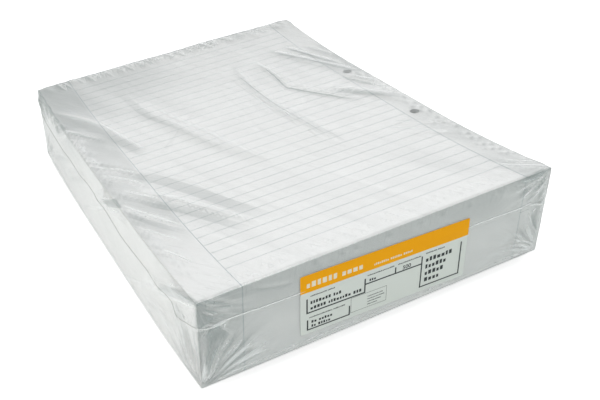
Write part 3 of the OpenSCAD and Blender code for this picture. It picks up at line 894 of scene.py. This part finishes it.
def make_ruling(ink):
    """The printed lines on the top sheet: two margins from end to end and the lines between them."""
    left, right = MARGIN_LEFT - HALF_W, HALF_W - MARGIN_RIGHT
    strips = [(x - MARGIN_W / 2, -HALF_L, x + MARGIN_W / 2, HALF_L) for x in (left, right)]
    for k in range(RULE_COUNT):
        y = RULE_START - HALF_L + k * RULE_GAP
        strips.append((left, y - RULE_W / 2, right, y + RULE_W / 2))
    piece = sliced(joined([plate(*strip, PRINT_T) for strip in strips]), RULE_STEP)
    u, v, t = vertices(piece).T
    move_vertices(piece, leaned(u, v, STACK_H + RULE_LIFT + t) * MM)
    named("printed_lines", ink)


# Finishes


def sum_by(operation, turned=False):
    """A method that joins a signal with another one, or with a number, in a maths node."""

    def joined_with(self, *others):
        parts = (*others, self) if turned else (self, *others)
        return self.finish.node("ShaderNodeMath", {"operation": operation}, dict(enumerate(parts)))

    return joined_with


class Signal:
    """A socket that takes part in sums as a number does."""

    def __init__(self, finish, socket):
        self.finish, self.socket = finish, socket

    __add__, __radd__ = sum_by("ADD"), sum_by("ADD", turned=True)
    __sub__, __rsub__ = sum_by("SUBTRACT"), sum_by("SUBTRACT", turned=True)
    __mul__, __rmul__ = sum_by("MULTIPLY"), sum_by("MULTIPLY", turned=True)
    __truediv__, __pow__, __abs__ = sum_by("DIVIDE"), sum_by("POWER"), sum_by("ABSOLUTE")
    at_least, at_most, root = sum_by("MAXIMUM"), sum_by("MINIMUM"), sum_by("SQRT")

    def over(self, low, high):
        """0 up to low, 1 from high, and a soft step between them."""
        return self.finish.node(
            "ShaderNodeMapRange",
            {"interpolation_type": "SMOOTHSTEP", "clamp": True},
            {"Value": self, "From Min": low, "From Max": high, "To Min": 0.0, "To Max": 1.0},
        )


class Finish:
    """A material under construction."""

    def __init__(self, name, tree=None):
        if tree is None:
            self.material = bpy.data.materials.new(name)
            self.material.use_nodes = True
            tree = self.material.node_tree
        self.tree = tree
        tree.nodes.clear()

    def node(self, kind, settings=None, values=None, out=0):
        """Adds a node, sets it up, feeds its sockets, and gives one of its outputs."""
        made = self.tree.nodes.new(kind)
        for name, value in (settings or {}).items():
            if name == "stops":
                ramp = made.color_ramp.elements
                while len(ramp) < len(value):
                    ramp.new(0.5)
                for element, (place, colour) in zip(ramp, value):
                    element.position, element.color = place, (*colour, 1)
            else:
                setattr(made, name, value)
        for name, value in (values or {}).items():
            socket = made.inputs[name]
            if isinstance(value, Signal):
                self.tree.links.new(value.socket, socket)
            elif isinstance(value, tuple) and len(value) == 3 and socket.type == "RGBA":
                socket.default_value = (*value, 1)
            else:
                socket.default_value = value
        if out is None:
            return made
        return Signal(self, made.outputs[out])

    def place(self):
        """Object coordinates in millimetres, as three signals."""
        at = self.node("ShaderNodeTexCoord", out="Object")
        at = self.node("ShaderNodeVectorMath", {"operation": "SCALE"}, {0: at, "Scale": 1 / MM})
        return at, self.split(at)

    def facing(self):
        """The surface's own direction, as three signals."""
        return self.split(self.node("ShaderNodeNewGeometry", out="Normal"))

    def split(self, vector):
        """The three parts of a vector."""
        parts = self.node("ShaderNodeSeparateXYZ", values={0: vector}, out=None)
        return [Signal(self, part) for part in parts.outputs]

    def rays(self, *kinds):
        """1 for each kind of ray that looks at the surface, 0 for the others."""
        seen = self.node("ShaderNodeLightPath", out=None)
        return [Signal(self, seen.outputs[f"Is {kind} Ray"]) for kind in kinds]

    def vector(self, x, y, z):
        return self.node("ShaderNodeCombineXYZ", values={0: x, 1: y, 2: z})

    def attribute(self, name):
        return self.node("ShaderNodeAttribute", {"attribute_name": name}, out="Fac")

    def noise(self, where, scale, detail=3.0, rough=0.5):
        """Smooth random values about 1/2, on millimetres."""
        values = {"Vector": where, "Scale": scale, "Detail": detail, "Roughness": rough}
        return self.node("ShaderNodeTexNoise", values=values)

    def blend(self, share, a, b):
        """The colour a, or b where share is 1."""
        values = {"Factor": share, "A": a, "B": b}
        return self.node("ShaderNodeMix", {"data_type": "RGBA"}, values, out="Result")

    def bump(self, height, strength=1.0):
        """A surface that stands out by a height in millimetres."""
        return self.node("ShaderNodeBump", values={"Height": height, "Distance": MM, "Strength": strength})

    def shader(self, **values):
        values = {name.replace("_", " "): value for name, value in values.items()}
        return self.node("ShaderNodeBsdfPrincipled", values=values)

    def mix(self, share, a, b):
        return self.node("ShaderNodeMixShader", values={"Fac": share, 1: a, 2: b})

    def show(self, surface):
        end = self.tree.nodes.new("ShaderNodeOutputMaterial")
        self.tree.links.new(surface.socket, end.inputs["Surface"])
        return self.material


def straight_place(x, y, z):
    """The straight block's coordinates of a place on the leaning, curled pack."""
    z = z - SKIN
    share = slide(z)
    u, v = x - LEAN_X * share, y + LEAN_Y * share
    past = (abs(v) - FLAT_L / 2).at_least(0.0)
    t = z - (CURL_R - (CURL_R**2 - past * past).at_least(0.0).root())
    return u, v, t


def sheet_paper():
    """White ruled paper: plain on top, and the edges of hundreds of sheets on the sides."""
    m = Finish("ruled paper")
    where, (x, y, z) = m.place()
    u, v, t = straight_place(x, y, z)
    side = 1 - abs(m.facing()[2]).over(0.5, 0.8)
    fine = m.noise(m.vector(u * 0.02, v * 0.02, t * 3.0), 1.0, 4.0, 0.7)
    coarse = m.noise(m.vector(u * 0.008, v * 0.008, t * 0.35), 1.0, 2.0)
    fibre = m.noise(where, 0.6, 5.0, 0.6)
    patch = m.noise(where, 0.02, 2.0)
    left, right = MARGIN_LEFT - HALF_W, HALF_W - MARGIN_RIGHT
    end = abs(m.facing()[1]).over(0.6, 0.9)
    margin = 1 - abs(u - left).at_most(abs(u - right)).over(0.05, 0.5)
    printed = margin * end * (0.25 + 0.6 * fine)
    shade = 0.03 * fibre + 0.03 * patch + side * (0.14 * fine + 0.06 * coarse)
    colour = m.blend(shade, (0.88, 0.87, 0.87), (0.51, 0.53, 0.52))
    colour = m.blend(printed, colour, (0.36, 0.42, 0.44))
    # Painted shade: the filing holes are dark a little way down
    aside = (u - (HALF_W - HOLE_EDGE)) ** 2.0 + (abs(v) - HOLE_PITCH / 2) ** 2.0
    hole = 1 - aside.root().over(HOLE_D / 2 + 0.02, HOLE_D / 2 + 0.1)
    colour = m.blend(hole * (STACK_H - t).over(0.5, 5.0), colour, (0.06, 0.065, 0.065))
    height = fibre * 0.01 + side * fine * 0.06
    return m.show(m.shader(Base_Color=colour, Roughness=0.75 + 0.1 * fibre, Normal=m.bump(height)))


def line_ink():
    """Pale grey-blue ink, a little uneven along its length."""
    m = Finish("ruling ink")
    where, _ = m.place()
    share = m.noise(where, 0.25, 4.0, 0.7).over(0.3, 0.7)
    colour = m.blend(share, (0.35, 0.40, 0.42), (0.50, 0.54, 0.56))
    return m.show(m.shader(Base_Color=colour, Roughness=0.7 + 0.1 * share))


def streaks(m, a, b, angle, long, short, seed, low, high):
    """Thin streaks along a direction, on two of a finish's signals, laid on the film as painted highlights.
    """
    c, s = way_of(angle)
    along, across = (a * c + b * s) / long, (b * c - a * s) / short
    return m.noise(m.vector(along, across, seed), 1.0, 2.0, 0.5).over(low, high)


def fan(m, a, b, reach, turns, seed):
    """Streaks of painted light and shade that spread from a corner, also used as bumps. a and b are the
    distances from its edges.
    """
    far = (a * a + b * b).root()
    angle = m.node("ShaderNodeMath", {"operation": "ARCTAN2"}, {0: b, 1: a})
    bowed = angle * turns + 0.03 * far
    value = m.noise(m.vector(bowed, far * 0.012, seed), 1.0, 2.5, 0.55)
    fade = (1 - far.over(0.3 * reach, reach)) * far.over(0.5, 6.0)
    return fade * (value - 0.5) * 5.0


# Profiles across a thin crease, from one side to the other, as painted light and shade: 1/2 leaves the film
# as it is, 0 is the darkest painted shade
CREASE = (
    (0.0, 0.5), (0.2, 0.70), (0.40, 0.68), (0.47, 0.0), (0.56, 0.0), (0.66, 0.58), (0.85, 0.60), (1.0, 0.5),
)
RIDGE = (
    (0.0, 0.5), (0.12, 0.42), (0.28, 0.24), (0.45, 0.24), (0.54, 0.96), (0.64, 0.90), (0.8, 0.6), (1.0, 0.5),
)
STRIP = ((0.0, 0.5), (0.18, 0.52), (0.27, 0.24), (0.6, 0.28), (0.73, 0.30), (0.80, 0.62), (1.0, 0.5))
STREAK = ((0.0, 0.5), (0.2, 0.5), (0.44, 0.95), (0.56, 0.95), (0.8, 0.5), (1.0, 0.5))
PROFILES = (CREASE, CREASE, CREASE, RIDGE, RIDGE, STRIP, STREAK, STREAK)
FILM_IOR, LEAST_COVER, MOST_COVER = 1.5, 0.03, 0.85


def creases(m):
    """Painted light and shade of the thin creases, from their distance and strength that the film's vertices
    hold.
    """
    total = 0.0
    for group, profile in enumerate(PROFILES):
        stops = [(place, (value, value, value)) for place, value in profile]
        across = m.attribute(f"across{group}") * 0.5 + 0.5
        tone = m.node("ShaderNodeValToRGB", {"stops": stops}, {"Fac": across}) * 2.0 - 1.0
        total = tone * m.attribute(f"strength{group}") + total
    return total


def film_plastic():
    """Clear film: glossy at a low angle and milky on its creases, with painted light and painted shade from
    its folds, creases and corner fans in its milky part.
    """
    m = Finish("shrink film")
    _, (x, y, z) = m.place()
    u, v, t = straight_place(x, y, z)
    level = abs(m.facing()[2]).over(0.55, 0.8)
    side = 1 - level
    # Folds that spread over the sides from their corners, strongest at the label's lower left one, drawn as
    # bumps and as painted light and shade
    edge = (HALF_W - abs(u)).at_least(0.0) + (HALF_L - abs(v)).at_least(0.0)
    corner = u * 0.011 + v * 0.017
    strong = 0.45 + 0.55 * (0.0 - u).over(10.0, 80.0) * (0.0 - v).over(90.0, 140.0)
    low_fan = fan(m, edge, t.at_least(0.0), 52.0, 7.0, corner)
    high_fan = fan(m, edge, (STACK_H - t).at_least(0.0), 40.0, 6.0, corner + 7.0)
    fans = side * (low_fan * strong + 0.55 * high_fan)
    # Slanted streaks over the margin, upright ones at the label's edge, and ripples at the far one: painted
    # highlights that also bump the film
    margin = (0.0 - u).over(78.0, 86.0) + 0.5 * u.over(70.0, 100.0)
    slanted = streaks(m, u, v, -56, 30.0, 1.7, 3.0, 0.55, 0.72) * margin
    near_edge = (0.0 - v).over(126.0, 136.0)
    upright = streaks(m, u, v, -68, 14.0, 1.1, 5.0, 0.56, 0.75) * near_edge
    drawn = streaks(m, u, v, -73, 90.0, 5.0, 9.0, 0.45, 0.8) * 0.25
    hatch = streaks(m, u + v, t, 84, 12.0, 1.2, 11.0, 0.5, 0.75) * t.over(42.0, 50.0)
    lines = level * (0.3 * slanted + 0.4 * upright + drawn) + side * hatch * 0.4
    # Painted light and shade from the folds, the corner fans and the thin creases, with a random tone
    tone = (m.attribute("tone") + fans + 0.9 * creases(m)).at_least(-1.0).at_most(1.0)
    # Milky haze on the folds, with the streaks added to it as painted highlights
    haze = (m.attribute("haze") + 0.45 * lines).at_least(0.0).at_most(1.0)
    dents = m.noise(m.vector(x * 0.9 + y * 0.4, y * 0.35, z * 0.9), 0.16, 3.0, 0.55)
    small = m.noise(m.vector(x + 0.3 * y, y * 0.5, z), 0.7, 2.0, 0.5)
    height = dents * 0.4 + small * 0.03 + lines * 0.1 + fans * 0.3
    normal = m.bump(height, 0.7)
    gloss = m.node("ShaderNodeFresnel", values={"IOR": FILM_IOR, "Normal": normal})
    polish = 0.09 + 0.12 * haze + 0.04 * small
    shine = m.shader(Base_Color=(0.95, 0.97, 0.98), Metallic=1.0, Roughness=polish, Normal=normal)
    # Above 0 the film is painted light, milky white; below 0 it is painted shade, milky grey
    bright = tone.at_least(0.0)
    dark = (0.0 - tone).at_least(0.0)
    cover = (LEAST_COVER + 0.4 * haze + 0.5 * bright + 0.45 * dark).at_most(MOST_COVER)
    milk_and_painted_shade = m.shader(
        Base_Color=m.blend((dark * 4.0).at_most(1.0), (0.92, 0.94, 0.95), (0.30, 0.35, 0.35)),
        Roughness=0.45 + 0.1 * small,
        Normal=normal,
    )
    clear = m.node("ShaderNodeBsdfTransparent", values={"Color": (0.99, 0.992, 0.99)})
    body = m.mix(cover, clear, milk_and_painted_shade)
    return m.show(m.mix((gloss * 1.6).at_most(1.0), body, shine))


def seam_plastic():
    """The fused film of the seam: white on the label's end, and grey on the long side as painted shade."""
    m = Finish("seam film")
    where, (_, y, _) = m.place()
    uneven = m.noise(where, 0.5, 3.0, 0.6)
    # Painted shade: grey on the long side, white on the label's end
    end = (0.0 - y).over(147.0, 150.0)
    colour = m.blend(end, (0.58, 0.59, 0.57), (0.97, 0.98, 0.98))
    return m.show(m.shader(Base_Color=colour, Roughness=0.25 + 0.2 * uneven, Alpha=0.45 + 0.5 * uneven))


def label_stock():
    """The label's white coated paper."""
    m = Finish("label paper")
    where, _ = m.place()
    fibre = m.noise(where, 1.2, 4.0, 0.6)
    patch = m.noise(where, 0.05, 2.0)
    colour = m.blend(0.5 * fibre + 0.5 * patch, (0.68, 0.71, 0.68), (0.63, 0.665, 0.64))
    return m.show(m.shader(Base_Color=colour, Roughness=0.42 + 0.1 * fibre, Normal=m.bump(fibre * 0.02)))


def print_ink(name, colour, worn):
    """Solid print with a slight mottle, as a field of ink on coated paper has."""
    m = Finish(name)
    where, _ = m.place()
    mottle = m.noise(where, 1.6, 4.0, 0.65)
    colour = m.blend(mottle.over(0.3, 0.9), colour, worn)
    return m.show(m.shader(Base_Color=colour, Roughness=0.38 + 0.12 * mottle, Specular_IOR_Level=0.1))


# The room


# The floor, just under the pack, and how much it glows for the camera and in reflections
FLOOR_Z, SEEN_GLOW, MIRRORED_GLOW = -0.0004, 0.70, 0.12


def make_floor():
    """A pale floor that the camera sees as white, apart from the pack's faint shadow."""
    bpy.ops.mesh.primitive_plane_add(size=8, location=(0, 0, FLOOR_Z))
    floor = bpy.context.object
    floor.name = "floor"
    m = Finish("pale floor")
    where, _ = m.place()
    speck = m.noise(where, 0.05, 3.0)
    colour = m.blend(speck, (0.90, 0.90, 0.90), (0.88, 0.88, 0.88))
    paint = m.node("ShaderNodeBsdfDiffuse", values={"Color": colour})
    camera, through, glossy = m.rays("Camera", "Transmission", "Glossy")
    white = camera.at_least(through) * SEEN_GLOW + glossy * MIRRORED_GLOW
    glow = m.node("ShaderNodeEmission", values={"Color": (1.0, 1.0, 1.0), "Strength": white})
    floor.data.materials.append(m.show(m.node("ShaderNodeAddShader", values={0: paint, 1: glow})))
    floor.select_set(False)


def make_room():
    """White behind everything, a softer grey as the light all round, and dark reflections overhead."""
    world = bpy.data.worlds.new("studio")
    bpy.context.scene.world = world
    world.use_nodes = True
    m = Finish("studio", world.node_tree)
    overhead = m.split(m.node("ShaderNodeTexCoord", out="Generated"))[2].over(0.42, 0.68)
    camera, glossy, through = m.rays("Camera", "Glossy", "Transmission")
    white = camera.at_least(through).at_least(glossy * (1 - overhead))
    colour = m.blend(white, (0.505, 0.525, 0.515), (1.0, 1.0, 1.0))
    back = m.node("ShaderNodeBackground", values={"Color": colour, "Strength": 1.0})
    end = m.tree.nodes.new("ShaderNodeOutputWorld")
    m.tree.links.new(back.socket, end.inputs["Surface"])


def lamp(name, place, target, size, watts, colour):
    """A soft rectangular lamp that points at a target."""
    light = bpy.data.lights.new(name, "AREA")
    light.shape = "RECTANGLE"
    light.size, light.size_y = size
    light.energy = watts
    light.color = colour
    obj = bpy.data.objects.new(name, light)
    bpy.context.collection.objects.link(obj)
    obj.location = place
    obj.rotation_euler = (Vector(target) - Vector(place)).to_track_quat("-Z", "Y").to_euler()


def make_camera():
    """The photo's camera, as fitted to the sheets' corners."""
    camera = bpy.data.cameras.new("camera")
    camera.lens = 51.39
    camera.sensor_width = 36
    camera.shift_x = 0.1357
    obj = bpy.data.objects.new("camera", camera)
    obj.location = (-0.1975, -0.4507, 0.3083)
    obj.rotation_euler = [math.radians(a) for a in (58.185, 6.839, -24.776)]
    bpy.context.collection.objects.link(obj)
    bpy.context.scene.camera = obj


make_camera()
make_floor()
make_room()
lamp("light from the left", (-0.95, -0.08, 0.18), (0, 0, 0.03), (0.6, 0.4), 2.9, (1.0, 0.985, 0.94))
lamp("light overhead", (-0.02, -0.10, 0.62), (0.0, -0.02, 0.06), (0.40, 0.35), 1.72, (0.99, 0.99, 0.98))
lamp("fill in front", (0.15, -1.15, 0.10), (0, -0.15, 0.02), (0.8, 0.3), 2.2, (0.91, 1.0, 0.96))

make_film(film_plastic())
make_seam(seam_plastic())
make_ruling(line_ink())
make_label(
    label_stock(),
    print_ink("orange print", (0.88, 0.37, 0.0), (0.90, 0.41, 0.002)),
    print_ink("dark print", (0.035, 0.04, 0.042), (0.08, 0.09, 0.09)),
    print_ink("pale print", (0.80, 0.74, 0.60), (0.78, 0.68, 0.48)),
)
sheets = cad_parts["sheets"]
sheets.data.materials.clear()
sheets.data.materials.append(sheet_paper())

bpy.context.scene.view_settings.view_transform = "Standard"
